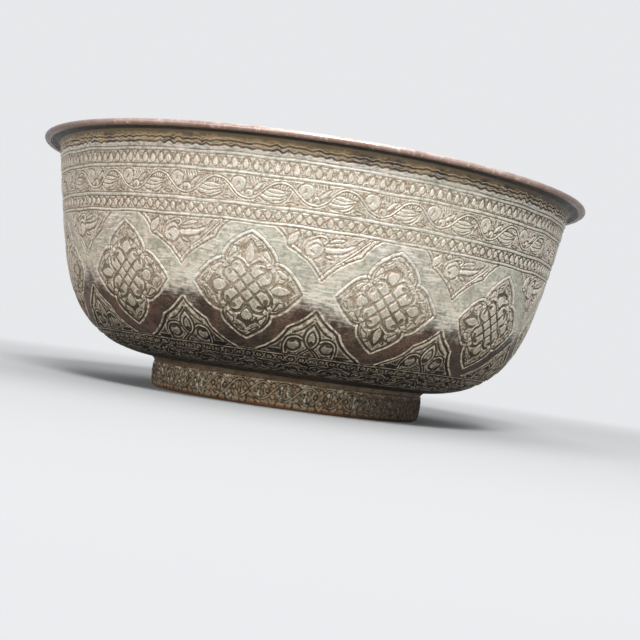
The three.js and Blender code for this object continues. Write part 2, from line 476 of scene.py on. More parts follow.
def upper_cartouche(work):
    """A hanging half cartouche: a round curl from which a long leaf sweeps to the right, on hatched ground."""
    side = joined(
        ([(21.5, 0.6), (18.5, -1.2), (15.4, -4.2), (14.2, -7.4)], 6),
        ([(14.2, -7.4), (9.4, -9.2), (4.6, -12.6), (0, -18.6)], 6),
    )
    work.mat(whole(side))
    work.hatch(whole(side), 1.1, 42, 0.15)
    for half in work.halves():
        half.border(side, 0.26)
        half.edging(side)
    work.leaf(joined(
        ([(-14.8, -7), (-16.6, -2.6), (-13.2, -2), (-11.3, -0.8)], 7),
        ([(-11.3, -0.8), (-10.2, -4), (-12, -6.4), (-14.8, -7)], 7),
    ))
    work.hatch(lens((-14, -6), (-12, -2), 1.5), 0.9, 20, 0.13)
    work.leaf(joined(
        ([(-1.2, -5.2), (4, -4.8), (8.6, -5.6), (12.6, -1.2)], 8),
        ([(12.6, -1.2), (8.8, -6.6), (6.4, -8.2), (-0.8, -7.6)], 8),
    ), 0.36)
    work.swell(bezier([(0.2, -6.2), (5, -5.8), (8.4, -6), (11.4, -2.6)], 8), 0.9)
    work.leaf(arc((-5, -6.3), (4.5, 4.1), 80, 400, 20), 0.36, -30, 0.13)
    work.cut(bezier([(-2.6, -2.6), (-7.6, -2.6), (-9.4, -6.6), (-7.6, -9.4)], 9), 0.3)
    work.cut(bezier([(-1.6, -5.6), (-3, -4), (-5.4, -4.2), (-6.6, -6.4)], 8), 0.32)
    work.pit(bezier([(-8.4, -9.2), (-5.4, -12), (-2.2, -9.6), (-4.8, -9.4), (-8.4, -9.2)], 8), 0.24)
    work.pit(bezier([(-6.6, -7.2), (-5.6, -9.6), (-3.4, -8.9), (-4.2, -7), (-6.6, -7.2)], 8), 0.22)
    work.stem(bezier([(-4.2, -1.8), (-1.6, -0.6), (1, -1.8), (-1, -3.8)], 8), 0.5, 0.2)
    work.leaf(lens((-0.6, -8.5), (3.8, -9.9), 1.2), 0.3)
    work.leaf(arc((7.2, -10.6), (0.9, 0.7), 200, -120, 7), 0.2)
    work.leaf(arc((-7.4, -1.6), (1.5, 1.1), 200, -120, 7), 0.2)
    work.pit(lens((-3.4, -13), (-0.4, -16), 0.6), 0.2)
    for step in range(3):
        ridge = bezier([(4.6 + step * 1.5, -11.4 + step * 1.1), (9.6 + step, -7.6 + step), (16.4, -0.9)], 7)
        work.stem(ridge, 0.42, 0.14)
    for step in range(4):
        work.cut([(-10.4 + step * 1.1, -2), (-9.8 + step * 0.7, -4.4)], 0.16)
    work.leaf(bezier([(-0.2, -3.8), (1.6, -0.6), (7, -0.6), (10.8, -1.6), (4, -3.6), (-0.2, -3.8)], 14), 0.18)
    work.hatch(lens((0.8, -2.8), (8, -2), 1.5), 0.9, 30, 0.12)


def lower_cartouche(work):
    """A standing cartouche: an almond in a dark ring between two curls, whose stems cross under it."""
    side = joined(
        ([(21.6, 0.3), (15.2, 4.4), (10.8, 8.6), (9.6, 12.8)], 8),
        ([(9.6, 12.8), (6, 14.6), (2.4, 18), (0, 21.4)], 7),
    )
    work.mat(whole(side))
    for half in work.halves():
        half.border(side, 0.42)
        half.leaf(lens((11.4, 1.4), (17.2, 1.6), 0.8), 0.36)
        half.leaf(arc((7.1, 5.5), (3, 2.7), 200, -150, 14), 0.42)
        half.hatch(arc((7.1, 5.2), 2.4, 0, 340, 12), 0.95, 30, 0.15)
        half.pit(lens((6.2, 7.5), (8.8, 6.9), 0.8))
        half.stem(bezier([(3.4, 8.4), (6.4, 11.4), (12, 9.4), (10.4, 1.4)], 12), 0.6, 0.34)
        half.stem(bezier([(-0.4, 4.8), (1.4, 3.6), (2.8, 2), (3.9, 0.4)], 6), 0.5, 0.34)
        half.swell(bezier([(1, 18.4), (4.6, 13.4), (8.4, 12.6), (9.4, 10.4)], 7), 0.45)
        half.cut(bezier([(0.6, 17.2), (3.4, 13.4), (5.2, 12), (7.6, 11.4)], 7))
    almond = whole(bezier([(0, 4.2), (4.6, 7.4), (4, 11.6), (0, 16)], 9))
    work.leaf(almond, 0.42)
    work.swell(almond * (0.84, 0.9) + (0, 0.9), 0.42)
    work.cut(lens((0, 5.6), (0, 13.2), 3))
    work.hatch(lens((0, 5.6), (0, 13.2), 3), 0.95, 35, 0.14)
    work.pit(arc((0, 7.4), (1.1, 1), 0, 330, 8))


def vine(work):
    """One period of the waving stem, with a veined leaf under its crest, and a curl and a leaf over its trough."""
    t = np.linspace(-1.25, 1.25, 41)
    swing = VINE_SWING * np.cos(np.pi * t) * (1.06 - 0.1 * np.cos(2 * np.pi * t))
    work.leaf(joined(
        ([(-9, -0.8), (-7.8, -3.2), (-5, -4.4), (-1.6, -4.5)], 6),
        ([(-1.6, -4.5), (1.6, -4.2), (3.2, -1.8), (3.6, 0.6)], 6),
        ([(3.6, 0.6), (1, -0.4), (-1.4, 2.4), (-5.2, 1.4), (-9, -0.8)], 8),
    ), 0.24)
    work.cut(bezier([(3.2, -0.3), (0, -2.3), (-4, -2.5), (-8, -1)], 7), 0.2)
    work.cut(bezier([(2.6, -1), (0.4, -3.3), (-2.2, -3.9), (-5.4, -3.4)], 6), 0.16)
    work.cut(bezier([(2.4, 0), (-0.8, -1), (-3.6, -0.7), (-6, 0.4)], 6), 0.16)
    work.leaf(lens((2.4, -3.9), (7.2, -4.3), 0.8), 0.22)
    for step in range(7):
        work.cut([(-4.2 + step * 1.25, 2.9 - abs(step - 3) * 0.2), (-3.0 + step * 0.9, 1.3)], 0.14)
    for away in (-2 * work.span, 0):
        trough = work.shifted(work.span).shifted(away)
        trough.leaf(arc((-3.7, 1), (3.4, 2.9), 20, 340, 12), 0.22)
        trough.hatch(arc((-3.7, 1), (2.8, 2.4), 20, 340, 12), 1, 60, 0.12)
        trough.pit([(-5, -0.4), (-3.6, 2.8), (-2.7, 0), (-3.6, 1)], 0.16)
        trough.leaf(lens((1.6, -1.2), (6.4, 3.2), 1.5), 0.24)
        trough.hatch(lens((2.2, -0.6), (6, 2.8), 1.1), 0.9, -30, 0.13)
        trough.leaf(arc((0.9, -1.8), (1.9, 1.6), 180, -150, 9), 0.26)
        trough.pit(arc((0.5, -2.2), 0.7, 0, 300, 5), 0.2)
        for step in range(6):
            trough.cut([(-0.9 + step * 1.1, 4.3), (-0.4 + step * 1.1, 2.6)], 0.14)
    work.stem(np.stack([t * work.span, swing], 1), 0.45, 0.2)


def drops(work):
    """A row of upright drops in pointed arches."""
    span = work.span
    for half in work.halves():
        half.cut(bezier([(0, 2.5), (0.9, 1.7), (span - 0.2, 0.7), (span, -1)], 5), 0.18)
        half.pit([(span + 0.1, -2.3), (span - 0.4, -2.3), (span + 0.1, -1.6)], 0.14)
    work.leaf(whole(bezier([(0, 2.1), (0.4, 1), (1.9, 0.2), (1.5, -2.3), (0, -2.1)], 7)), 0.16)
    work.swell([(0, -1), (0, 0.4)], 1.1, 0.55)
    work.pit(arc((0, -0.5), 0.2, 0, 300, 5), 0.2)


def ovals(work):
    """A row of small ovals under crossing lines."""
    for half in work.halves():
        half.cut([(0.1, -2.2), (work.span, 0.2), (0.1, 2.2)], 0.16)
    work.leaf(lens((0, -1.7), (0, 1.7), 1.9), 0.15)
    work.swell([(0, -0.6), (0, 0.6)], 0.9, 0.5)


def chain(work):
    """A narrow row of round links side by side."""
    span = work.span
    work.leaf(arc((0, 0), 1.45, 0, 350, 10), 0.24)
    work.pit(lens((0, -0.8), (0, 0.8), 0.35), 0.2)
    for half in work.halves():
        for up in (1, -1):
            half.pit([(span - 0.5, 1.7 * up), (span, 0.8 * up), (span + 0.1, 1.7 * up)], 0.2)


def arcade(work):
    """A scrolling stem with a curl in each hollow, between two small leaves."""
    span = work.span
    t = np.linspace(-1.2, 1.2, 25)
    for away, up in ((0, 1), (-span, -1), (span, -1)):
        hollow = work.shifted(away).turned(1, up)
        hollow.leaf(arc((-0.6, -1.6), (2.5, 2.1), 60, 400, 11), 0.3)
        hollow.cut(arc((-0.6, -1.6), (1.5, 0.5), 40, 330, 8))
        hollow.leaf(lens((2, -2.6), (6.2, -4.6), 1))
        hollow.leaf(lens((-2.8, -3.2), (-6.4, -4.6), 0.8))
        hollow.pit([(2.4, 0.4), (4.6, -0.8), (4, -2), (2.8, -1.2)], 0.26)
        for step in range(4):
            hollow.cut([(-4.6 + step * 0.9, 1.4 - step * 0.3), (-3.9 + step * 0.9, -0.6)], 0.2)
    work.stem(np.stack([t * span, 3.2 * np.cos(np.pi * t)], 1), 0.42, 0.26)


# How many of each drawing there are, the first one's azimuth, the path of its middle, millimetres a degree there,
# the paths it stays between, and how far a hand shifts, leans and stretches it
ROWS = (
    (upper_cartouche, MEDALLIONS, CARTOUCHE_AZIMUTH, 84, 1.95, (0, 84), (0.25, 0.02, 0.02)),
    (lower_cartouche, MEDALLIONS, CARTOUCHE_AZIMUTH, 31, 1.76, (31, 84), (0.25, 0.02, 0.02)),
    (vine, 28, -6.1, 96.7, 1.995, (91.7, 101.5), (0.08, 0, 0.02)),
    (drops, BEADS, 0.6, 105.7, 2.04, (103.3, 108.1), (0.12, 0.03, 0.05)),
    (ovals, BEADS, 0, 87.7, 1.98, (85.5, 89.8), (0.12, 0.03, 0.05)),
    (chain, 132, 0, 28.1, 1.57, (26.2, 29.9), (0.12, 0.03, 0.05)),
    (arcade, 30, 1, 20.6, 1.42, (15.4, 25.8), (0.12, 0.03, 0.05)),
)


def engrave_bowl(azimuth, path):
    """All the ornament on the bowl's outside."""
    work = Engraving(path.shape)
    azimuth = azimuth + ripple(azimuth, path, 0.12, 9, 40)
    path = path + ripple(azimuth, path, 0.16, 9, 30)
    for at in RING_PATHS:
        work.ring(path, at)
    for low, high in MATTED_BANDS:
        work.band(path, low, high)

    azimuth = azimuth + ripple(azimuth, path, 0.05, 9, 160, 1.2)
    path = path + ripple(azimuth, path, 0.10, 9, 160, 1.2)
    x, y, number = repeats(azimuth, path - MEDALLION_PATH, MEDALLIONS, MEDALLION_AZIMUTH, MEDALLION_SCALE)
    for kind in range(3):
        medallion(work.at(np.where(number % 3 == kind, x, FAR), y), kind)
    for draw, count, first, middle, scale, (low, high), unevenness in ROWS:
        x, y, _ = repeats(azimuth, path - middle, count, first, scale, *unevenness)
        here = work.at(np.where((path > low) & (path < high), x, FAR), y)
        here.span = 180 / count * scale
        draw(here)

    # The neck's wavering tooled line and the loose ridges above it
    level = path * 0
    wander = ripple(azimuth, level, 0.22, 14, 220)
    swing = 0.22 + ripple(azimuth, level, 0.12, 6, 30)
    turns = BEADS + ripple(azimuth, level, 0.02, 5, 12)
    wave = swing * np.sin(np.radians(azimuth) * turns) + wander
    work.neck[path - wave > TOOLED_PATH - 0.2] = 1
    work.ring(path - wave, TOOLED_PATH, 0.3)
    work.hoop(path - wave, TOOLED_PATH - 0.8, 0.5, 1)
    loose = path - wave * 0.3 - ripple(azimuth, level, 0.3, 14, 190)
    broken = np.clip(0.9 + ripple(azimuth, level, 0.5, 10, 40), 0, 1)
    work.hoop(loose, TOOLED_PATH + 1.1, 0.45, broken)
    work.ring(loose, TOOLED_PATH + 1.8, 0.24)
    work.hoop(path - ripple(azimuth, level, 0.32, 14, 170), TOOLED_PATH + 2.6, 0.34, 1.1 - broken * 0.8)
    return work


# Ornament of the foot

FOOT_CARVED = (0.8, 12.2)
FOOT_FACE_DEPTH = 0.6
FOOT_DENT_DEPTH = 0.08
FOOT_BAND = (2.4, 11.2)
FOOT_LINE = 11.4
FOOT_OVALS = 20
FOOT_OVAL_HEIGHT = 6.6
FOOT_STROKES = 120
FOOT_STROKE_HEIGHT = 2.2


def engrave_foot(azimuth, height):
    """Interlaced pointed ovals on the foot ring, with short strokes along its lower edge."""
    work = Engraving(height.shape)
    azimuth = azimuth + ripple(azimuth, height, 0.25, 8, 30)
    height = height + ripple(azimuth, height, 0.12, 8, 24)
    work.band(height, *FOOT_BAND)
    work.ring(height, FOOT_LINE)
    scale = math.radians(1) * FOOT_BULGED_RADIUS
    span = 180 / FOOT_OVALS * scale
    x, y, _ = repeats(azimuth, height - FOOT_OVAL_HEIGHT, FOOT_OVALS, -0.2, scale, 0.2, 0.02, 0.03)
    wave = bezier([(0, 3.6), (3.6, 3.8), (span - 3.6, -3.8), (span, -3.6)], 12)
    for away in (-span, 0, span):
        oval = work.at(x - away, y)
        for half in oval.halves():
            half.stem(wave, 0.45, 0.22)
        for up in (1, -1):
            half = oval.turned(1, up)
            half.leaf(lens((0, -0.4), (0, 2.9), 1.1), 0.26)
            half.shifted(span / 2).leaf(arc((0, 2.2), (1.3, 1.1), 90, -240, 8), 0.24)
            half.cut(arc((2.3, 0.2), (1.3, 0.5), -80, 200, 8), 0.24)
            half.cut(arc((-2.3, 0.2), (1.3, 0.5), 260, -20, 8), 0.24)
    x, y, number = repeats(azimuth, height - FOOT_STROKE_HEIGHT, FOOT_STROKES, 0, scale, 0.15, 0.15, 0.1)
    work.at(x, y).cut([(0, -1.2), (0, 1.1)], 0.2)
    work.at(x * np.where(number % 2, 1, -1), y).cut([(-0.9, -0.9), (0.7, 1)], 0.18)
    return work


# Meshes built ring by ring

class Lathe:
    """Rings of vertices joined by faces. Each face corner has a place on the unrolled surface, and strips tell
    which rows of the map a face goes to."""

    def __init__(self):
        self.rings = []
        self.places = []
        self.values = {name: [] for name in (*LAYERS, "inside")}
        self.count = 0
        self.faces = {3: [], 4: []}
        self.corners = {3: [], 4: []}

    def ring(self, points, run, strip, around=True, **values):
        """Adds a ring of points, in metres, and joins it to the last one. run is how far along the section it is."""
        self.rings.append((self.count, len(points), run))
        self.places.append(points)
        for name, held in self.values.items():
            held.append(np.broadcast_to(np.asarray(values.get(name, 0.0), float), len(points)))
        self.count += len(points)
        if len(self.rings) > 1:
            self.join(strip, around)

    def join(self, strip, around):
        """Joins the last two rings, whose counts are alike or one twice the other, or one of which is a point."""
        a, b = (count for _, count, _ in self.rings[-2:])

        def corner(which, j):
            start, count, run = self.rings[which - 2]
            turn = j / count if count > 1 else (np.arange(max(a, b)) + 0.5) / max(a, b)
            return start + j % count, np.stack([turn, np.full(len(j), run)], 1)

        j = np.arange(min(a, b) if 1 not in (a, b) else max(a, b))
        if a == b:
            j = j if around else j[:-1]
            shapes = [[(0, j), (0, j + 1), (1, j + 1), (1, j)]]
        elif b == 1:
            shapes = [[(0, j), (0, j + 1), (1, j * 0)]]
        elif a == 1:
            shapes = [[(0, j * 0), (1, j + 1), (1, j)]]
        elif a == 2 * b:
            shapes = [
                [(0, 2 * j), (0, 2 * j + 1), (1, j)],
                [(0, 2 * j + 1), (1, j + 1), (1, j)],
                [(0, 2 * j + 1), (0, 2 * j + 2), (1, j + 1)],
            ]
        else:
            shapes = [
                [(0, j), (1, 2 * j + 1), (1, 2 * j)],
                [(0, j), (0, j + 1), (1, 2 * j + 1)],
                [(0, j + 1), (1, 2 * j + 2), (1, 2 * j + 1)],
            ]
        for shape in shapes:
            indices, places = zip(*(corner(*c) for c in shape))
            self.faces[len(shape)].append(np.stack(indices, 1))
            self.corners[len(shape)].append(strip(np.stack(places, 1)))

    def build(self, name):
        mesh = bpy.data.meshes.new(name)
        faces = {sides: np.concatenate(found) for sides, found in self.faces.items() if found}
        corners = [np.concatenate(self.corners[sides]).reshape(-1, 2) for sides in faces]
        loops = np.concatenate([found.ravel() for found in faces.values()])
        sizes = np.concatenate([np.full(len(found), sides) for sides, found in faces.items()])
        mesh.vertices.add(self.count)
        mesh.vertices.foreach_set("co", np.concatenate(self.places).astype(np.float32).ravel())
        mesh.loops.add(len(loops))
        mesh.loops.foreach_set("vertex_index", loops.astype(np.int32))
        mesh.polygons.add(len(sizes))
        mesh.polygons.foreach_set("loop_start", np.concatenate([[0], np.cumsum(sizes)[:-1]]).astype(np.int32))
        mesh.update(calc_edges=True)
        mesh.validate()
        bake = mesh.uv_layers.new(name="OFBake")
        bake.data.foreach_set("uv", np.concatenate(corners).astype(np.float32).ravel())
        for held_name, held in self.values.items():
            attribute = mesh.attributes.new(held_name, "FLOAT", "POINT")
            attribute.data.foreach_set("value", np.concatenate(held).astype(np.float32))
        mesh.shade_smooth()
        return added(name, mesh)


def added(name, data):
    made = bpy.data.objects.new(name, data)
    bpy.context.scene.collection.objects.link(made)
    return made


def round_axis(radius, height, columns, push=None, square=None, start=-180, end=180):
    """A ring of points in metres, from sizes in millimetres. push moves them along square, a unit vector in the
    section."""
    gaps = columns if end - start >= 360 else columns - 1
    turn = np.radians(start + (end - start) * np.arange(columns) / gaps)
    reach = np.full(columns, float(radius))
    level = np.full(columns, float(height))
    if push is not None:
        reach = reach + push * square[0]
        level = level + push * square[1]
    return np.stack([reach * np.sin(turn), -reach * np.cos(turn), level], 1) * MM


def full_turn(columns):
    return -180 + 360 * np.arange(columns) / columns


def strip_maker(bottom, top, length):
    """Places faces in the map between the heights bottom and top, over length along the section."""
    def place(corners):
        turn, along = corners[..., 0], corners[..., 1]
        return np.stack([turn, bottom + along / length * (top - bottom)], -1)
    return place


def double_strip_maker(bottom, top, low, high):
    """The same at twice the width, for low to high along the section: the second half turn goes above the first."""
    def place(corners):
        turn, along = corners[..., 0], corners[..., 1]
        second = turn.mean(1, keepdims=True) > 0.5
        base = np.where(second, (bottom + top) / 2, bottom)
        rise = (along - low) / (high - low) * (top - bottom) * HALF_TURN_MAP
        return np.stack([turn * 2 - second, base + rise], -1)
    return place


# The bowl

def bowl_lines():
    """The section in three lines: the underside inside the foot, the outside up to the rim's top, and the inside."""
    seat = np.array([math.cos(SEAT_ANGLE), math.sin(SEAT_ANGLE)])
    toe_outside = np.array([TOE_OUTSIDE, TOE_HEIGHT])
    toe_inside = toe_outside - seat * (2 * SOLDER_TOE + FOOT_SHEET) / seat[0]
    lean = np.array([math.sin(SHOULDER_ANGLE), math.cos(SHOULDER_ANGLE)])
    shoulder = np.array([SHOULDER_RADIUS, TOE_HEIGHT + BELLY_RISE])
    root = shoulder + (WALL_FLARE, WALL_RISE)
    bottom = toe_inside[1] - BASE_SAG
    reach = min(BASE_SAG / math.tan(SEAT_ANGLE), toe_inside[0] / 2)
    base = bezier([(0, bottom), (toe_inside[0] - reach, bottom), toe_inside], 60)
    belly = bezier([toe_outside, toe_outside + BELLY_SPREAD * seat, shoulder - BELLY_FULLNESS * lean, shoulder], 160)
    wall = bezier([shoulder, shoulder + WALL_BOW * lean, root], 90)

    rise = np.degrees(math.atan2(*(wall[-1] - wall[-2])))
    bend_centre = root + FLANGE_BEND * np.array([math.cos(math.radians(rise)), -math.sin(math.radians(rise))])
    bend = arc(bend_centre, FLANGE_BEND, 180 - rise, 90, 12)
    hem_inside = RIM_RADIUS - HEM_WIDTH
    round_size = HEM_THICKNESS / 2
    outside = np.vstack([
        belly,
        wall[1:],
        bend[1:],
        [(hem_inside, bend_centre[1] + FLANGE_BEND), (hem_inside + HEM_EASE, RIM_HEIGHT - HEM_THICKNESS)],
        arc((RIM_RADIUS - round_size, RIM_HEIGHT - round_size), round_size, -90, 90, 16),
        [(hem_inside + HEM_EASE, RIM_HEIGHT), (hem_inside, RIM_HEIGHT - HEM_PROUD)],
    ])
    inner_wall, inner_belly, inner_base = ((line - side_of(line) * SHEET)[::-1] for line in (wall, belly, base))
    inner_base[-1, 0] = 0
    inside_line = np.vstack([
        [(hem_inside, RIM_HEIGHT - HEM_PROUD)],
        arc(bend_centre, FLANGE_BEND + SHEET, 90, 180 - rise, 12),
        inner_wall[1:],
        inner_belly[1:],
        inner_base,
    ])
    return np.vstack([base, [toe_outside]]), outside, inside_line


def bowl_piece():
    under, outside, inside_line = bowl_lines()
    offset = SOLDER_TOE / math.cos(SEAT_ANGLE)
    end = length_along(outside)[-1] + offset
    rows = np.vstack([
        spaced(outside, BELLY_STEP, 0, CARVED_FROM - offset)[:-1],
        spaced(outside, CARVED_STEP, CARVED_FROM - offset, CARVED_TO - offset)[:-1],
        spaced(outside, LIP_STEP, CARVED_TO - offset, end - offset),
    ])
    along = length_along(rows) + offset
    azimuth, path = np.meshgrid(full_turn(CARVED_COLUMNS), along)
    work = engrave_bowl(azimuth, path)
    dents = ripple(azimuth, path, DENT_DEPTH, 12, 26)
    fade = fading(path, *DENTS_FROM_SOLDER) * fading(end - path, *DENTS_FROM_RIM)
    relief = work.relief() * (path < CARVED_TO) + dents * fade
    relief = np.minimum(relief, np.where(path > FLANGE_PATH, 0, 1))
    relief -= np.abs(ripple(azimuth, path, DENT_DEPTH, 10, 60)) * (path > HEM_PATH)

    # The underside, from the middle out to the solder's toe
    bowl = Lathe()
    hidden = spaced(under, BASE_STEP)
    strip = strip_maker(*UNDER_MAP, length_along(under)[-1])
    bowl.ring(round_axis(0, hidden[0, 1], 1), 0, strip)
    for (radius, height), run in list(zip(hidden, length_along(hidden)))[1:]:
        bowl.ring(round_axis(radius, height, BASE_COLUMNS), run, strip)
    columns = BASE_COLUMNS
    while columns < CARVED_COLUMNS:
        columns *= 2
        bowl.ring(round_axis(radius + UNDER_HALVING * columns / CARVED_COLUMNS, height, columns), run, strip)

    # The outside, row by row
    strip = double_strip_maker(*OUTSIDE_MAP, offset, end)
    squares = side_of(rows)
    for i in range(1, len(rows)):
        ring = round_axis(*rows[i], CARVED_COLUMNS, relief[i], squares[i])
        bowl.ring(ring, along[i], strip, **{name: getattr(work, name)[i] for name in LAYERS})

    # The inside, from the rim down to the middle, where the hammer marks fade out as they do below the rim
    strip = strip_maker(*INSIDE_MAP, length_along(inside_line)[-1])
    plain = {"groove": GROOVE_REACH, "inside": 1}
    inner = spaced(inside_line, PLAIN_STEP)
    runs = length_along(inner)
    radius, height = inner[0]
    while columns > PLAIN_COLUMNS:
        columns //= 2
        ring = round_axis(radius - RIM_HALVING * CARVED_COLUMNS / columns, height, columns)
        bowl.ring(ring, 0, strip, **plain)
    turn = np.radians(full_turn(PLAIN_COLUMNS))
    for (radius, height), run, square in list(zip(inner, runs, side_of(inner)))[1:-1]:
        fade = fading(run, *MARKS_FROM_RIM) * fading(radius, *MARKS_FROM_MIDDLE)
        marks = sum(np.sin(turn * turns + run * slope + phase) for turns, slope, phase in INSIDE_WAVES)
        ring = round_axis(radius, height, PLAIN_COLUMNS, marks * HAMMER_DEPTH * fade, square)
        bowl.ring(ring, run, strip, **plain)
    bowl.ring(round_axis(0, inner[-1, 1], 1), runs[-1], strip, **plain)
    return bowl.build("engraved_bowl")


# The foot ring, its seam and the solder

def foot_section():
    """The strip's section, from the top of its outer face down, under the lip and up its inner face."""
    middle = (FOOT_HEIGHT + FOOT_CORNER) / 2
    flat_outside = FOOT_RADIUS - FOOT_CORNER
    inner = FOOT_RADIUS - FOOT_SHEET
    outer_face = [(FOOT_RADIUS, FOOT_HEIGHT), (FOOT_RADIUS + 2 * FOOT_BULGE, middle), (FOOT_RADIUS, FOOT_CORNER)]
    inner_face = [(inner, FOOT_CORNER), (inner + 2 * FOOT_BULGE, middle), (inner, FOOT_HEIGHT)]
    return np.vstack([
        bezier(outer_face, 24),
        arc((flat_outside, FOOT_CORNER), FOOT_CORNER, 0, -90, 8)[1:],
        [(flat_outside - FOOT_LIP, 0), (flat_outside - FOOT_LIP, FOOT_SHEET)],
        arc((flat_outside, FOOT_CORNER), FOOT_CORNER - FOOT_SHEET, -90, 0, 4),
        bezier(inner_face, 12)[1:],
    ])


def closed_tube(name, rows, columns, push, values=None, start=-180, end=180):
    """A closed section swept round the axis. Where it doesn't go all the way, its ends are capped."""
    around = end - start >= 360
    tube = Lathe()
    rows = closed(rows)
    squares = side_of(rows)
    along = length_along(rows)
    strip = strip_maker(*TUBE_MAP, along[-1])
    for i, (radius, height) in enumerate(rows[:-1]):
        ring = round_axis(radius, height, columns, push[i], squares[i], start, end)
        tube.ring(ring, along[i], strip, around, **{key: held[i] for key, held in (values or {}).items()})
    tube.rings.append((0, columns, along[-1]))
    tube.join(strip, around)
    if not around:
        first = np.array([start_index for start_index, _, _ in tube.rings[:-1]])
        cap(tube, first, along[:-1], 0.0)
        cap(tube, (first + columns - 1)[::-1], along[:-1][::-1], 1.0)
    return tube.build(name)


def cap(tube, edge, along, turn):
    """Closes an open end with triangles between the section's two long faces."""
    left, right = 0, len(edge) - 1
    found = []
    while right - left > 1:
        found.append((left, left + 1, right))
        left += 1
        if right - left > 1:
            found.append((left, right - 1, right))
            right -= 1
    order = np.array(found)
    tube.faces[3].append(edge[order])
    tube.corners[3].append(np.stack([np.full(order.shape, turn), along[order] / along.max()], -1))


def foot_piece():
    half_gap = math.degrees(SEAM_WIDTH / 2 / FOOT_RADIUS)
    rows = spaced(foot_section(), FOOT_STEP)
    turn = np.linspace(-180 + half_gap, 180 - half_gap, FOOT_COLUMNS)
    azimuth, height = np.meshgrid(turn, rows[:, 1])
    work = engrave_foot(azimuth, height)
    outer_face = (np.arange(len(rows)) < len(rows) / 2) & (rows[:, 0] > FOOT_RADIUS - FOOT_FACE_DEPTH)
    outer = outer_face[:, None] & (height > FOOT_CARVED[0]) & (height < FOOT_CARVED[1])
    relief = np.where(outer, work.relief(), 0)
    relief = relief + ripple(azimuth, height, FOOT_DENT_DEPTH, 10, 30) * fading(height, *DENTS_FROM_EDGE) * outer
    values = {name: np.where(outer, getattr(work, name), 0) for name in LAYERS}
    values["groove"] = np.where(outer, work.groove, GROOVE_REACH)
    return closed_tube("engraved_foot", rows, FOOT_COLUMNS, relief, values, -180 + half_gap, 180 - half_gap)


# The seam's lumps, each as its size, radians a millimetre and phase, how far they may go, and where they start
SEAM_LUMPS = ((0.05, 2.1, 0), (0.04, 5.3, 1))
SEAM_PROUD = 0.08
SEAM_FROM = 1

# The solder's lumps: their size, how deep and how proud they may be, and the section's points that are fillet
SOLDER_LUMP = 0.1
SOLDER_LUMP_RANGE = (-0.15, 0.2)
SOLDER_LUMP_POINTS = (*range(1, 7), *range(12, 17))


def seam_piece():
    half_gap = math.degrees(SEAM_WIDTH / 2 / FOOT_RADIUS)
    rows = spaced(foot_section(), SEAM_STEP)
    height = np.repeat(rows[:, 1:], SEAM_COLUMNS, 1)
    lumps = sum(size * np.sin(height * rate + phase) for size, rate, phase in SEAM_LUMPS)
    proud = np.clip(lumps, -SEAM_PROUD, SEAM_PROUD) * (height > SEAM_FROM)
    return closed_tube("brazed_seam", rows, SEAM_COLUMNS, proud, None, 180 - half_gap, 180 + half_gap)


def solder_piece():
    """Solder astride the ring's top edge, with an uneven hollow fillet on each side."""
    leg_end = FOOT_HEIGHT - SOLDER_LEG
    inner = FOOT_RADIUS - FOOT_SHEET
    across = 2 * SOLDER_TOE + FOOT_SHEET
    toe_inside = (TOE_OUTSIDE - 2 * SOLDER_TOE - FOOT_SHEET, TOE_HEIGHT - across * math.tan(SEAT_ANGLE))
    hollow = SOLDER_TOE * SOLDER_HOLLOW
    rows = np.vstack([
        bezier([(TOE_OUTSIDE, TOE_HEIGHT), (FOOT_RADIUS + hollow, FOOT_HEIGHT), (FOOT_RADIUS, leg_end)], 8),
        [(FOOT_RADIUS, FOOT_HEIGHT), (inner, FOOT_HEIGHT)],
        bezier([(inner, leg_end), (inner - hollow, FOOT_HEIGHT), toe_inside], 8),
    ])
    azimuth, step = np.meshgrid(full_turn(SOLDER_COLUMNS), np.arange(len(rows)))
    lumps = np.clip(ripple(azimuth, step * 0.5, SOLDER_LUMP, 16, 140), *SOLDER_LUMP_RANGE)
    return closed_tube("solder_fillet", rows, SOLDER_COLUMNS, lumps * np.isin(step, SOLDER_LUMP_POINTS))


# Materials

class Value:
    """What comes out of a node, so that sums, products and ramps of it are written as such."""

    def __init__(self, node, output=0):
        self.tree = node.id_data
        self.socket = node.outputs[output]

    def maths(self, operation, other=0.0):
        return Value(put(self.tree, "Math", {"operation": operation}, I0=self, I1=other))

    def __add__(self, other):
        return self.maths("ADD", other)

    def __sub__(self, other):
        return self.maths("SUBTRACT", other)

    def __mul__(self, other):
        return self.maths("MULTIPLY", other)

    def ramp(self, low, high, start=0.0, end=1.0):
        """start below low and end above high, with a smooth change between."""
        settings = {"interpolation_type": "SMOOTHSTEP"}
        ends = {"From_Min": low, "From_Max": high, "To_Min": start, "To_Max": end}
        return Value(put(self.tree, "MapRange", settings, Value=self, **ends))

    def rise(self, low, high, end):
        return self.ramp(low, high, 0.0, end)

    def fall(self, low, high, start=1.0):
        return self.ramp(low, high, start, 0.0)

    def blend(self, first, second, kind="MIX"):
        """Colours mixed by this share of the second."""
        settings = {"data_type": "RGBA", "blend_type": kind}
        return Value(put(self.tree, "Mix", settings, I0=self, I6=first, I7=second), 2)

    def scaled(self, x, y, z):
        return Value(put(self.tree, "VectorMath", {"operation": "MULTIPLY"}, I0=self, I1=(x, y, z)))

    def length(self):
        return Value(put(self.tree, "VectorMath", {"operation": "LENGTH"}, I0=self), "Value")

    def noise(self, size, detail, rough=0.55):
        """Uneven values round 0.5, with features about size millimetres across."""
        return Value(put(self.tree, "TexNoise", Vector=self, Scale=1 / (size * MM), Detail=detail, Roughness=rough))


def put(tree, kind, settings=None, **inputs):
    """Adds a node. A capital I and a number name a socket by its place, and other names have spaces for _."""
    node = tree.nodes.new("ShaderNode" + kind)
    for key, value in (settings or {}).items():
        setattr(node, key, value)
    for key, value in inputs.items():
        feed(node, int(key[1:]) if key[1:].isdigit() else key.replace("_", " "), value)
    return node


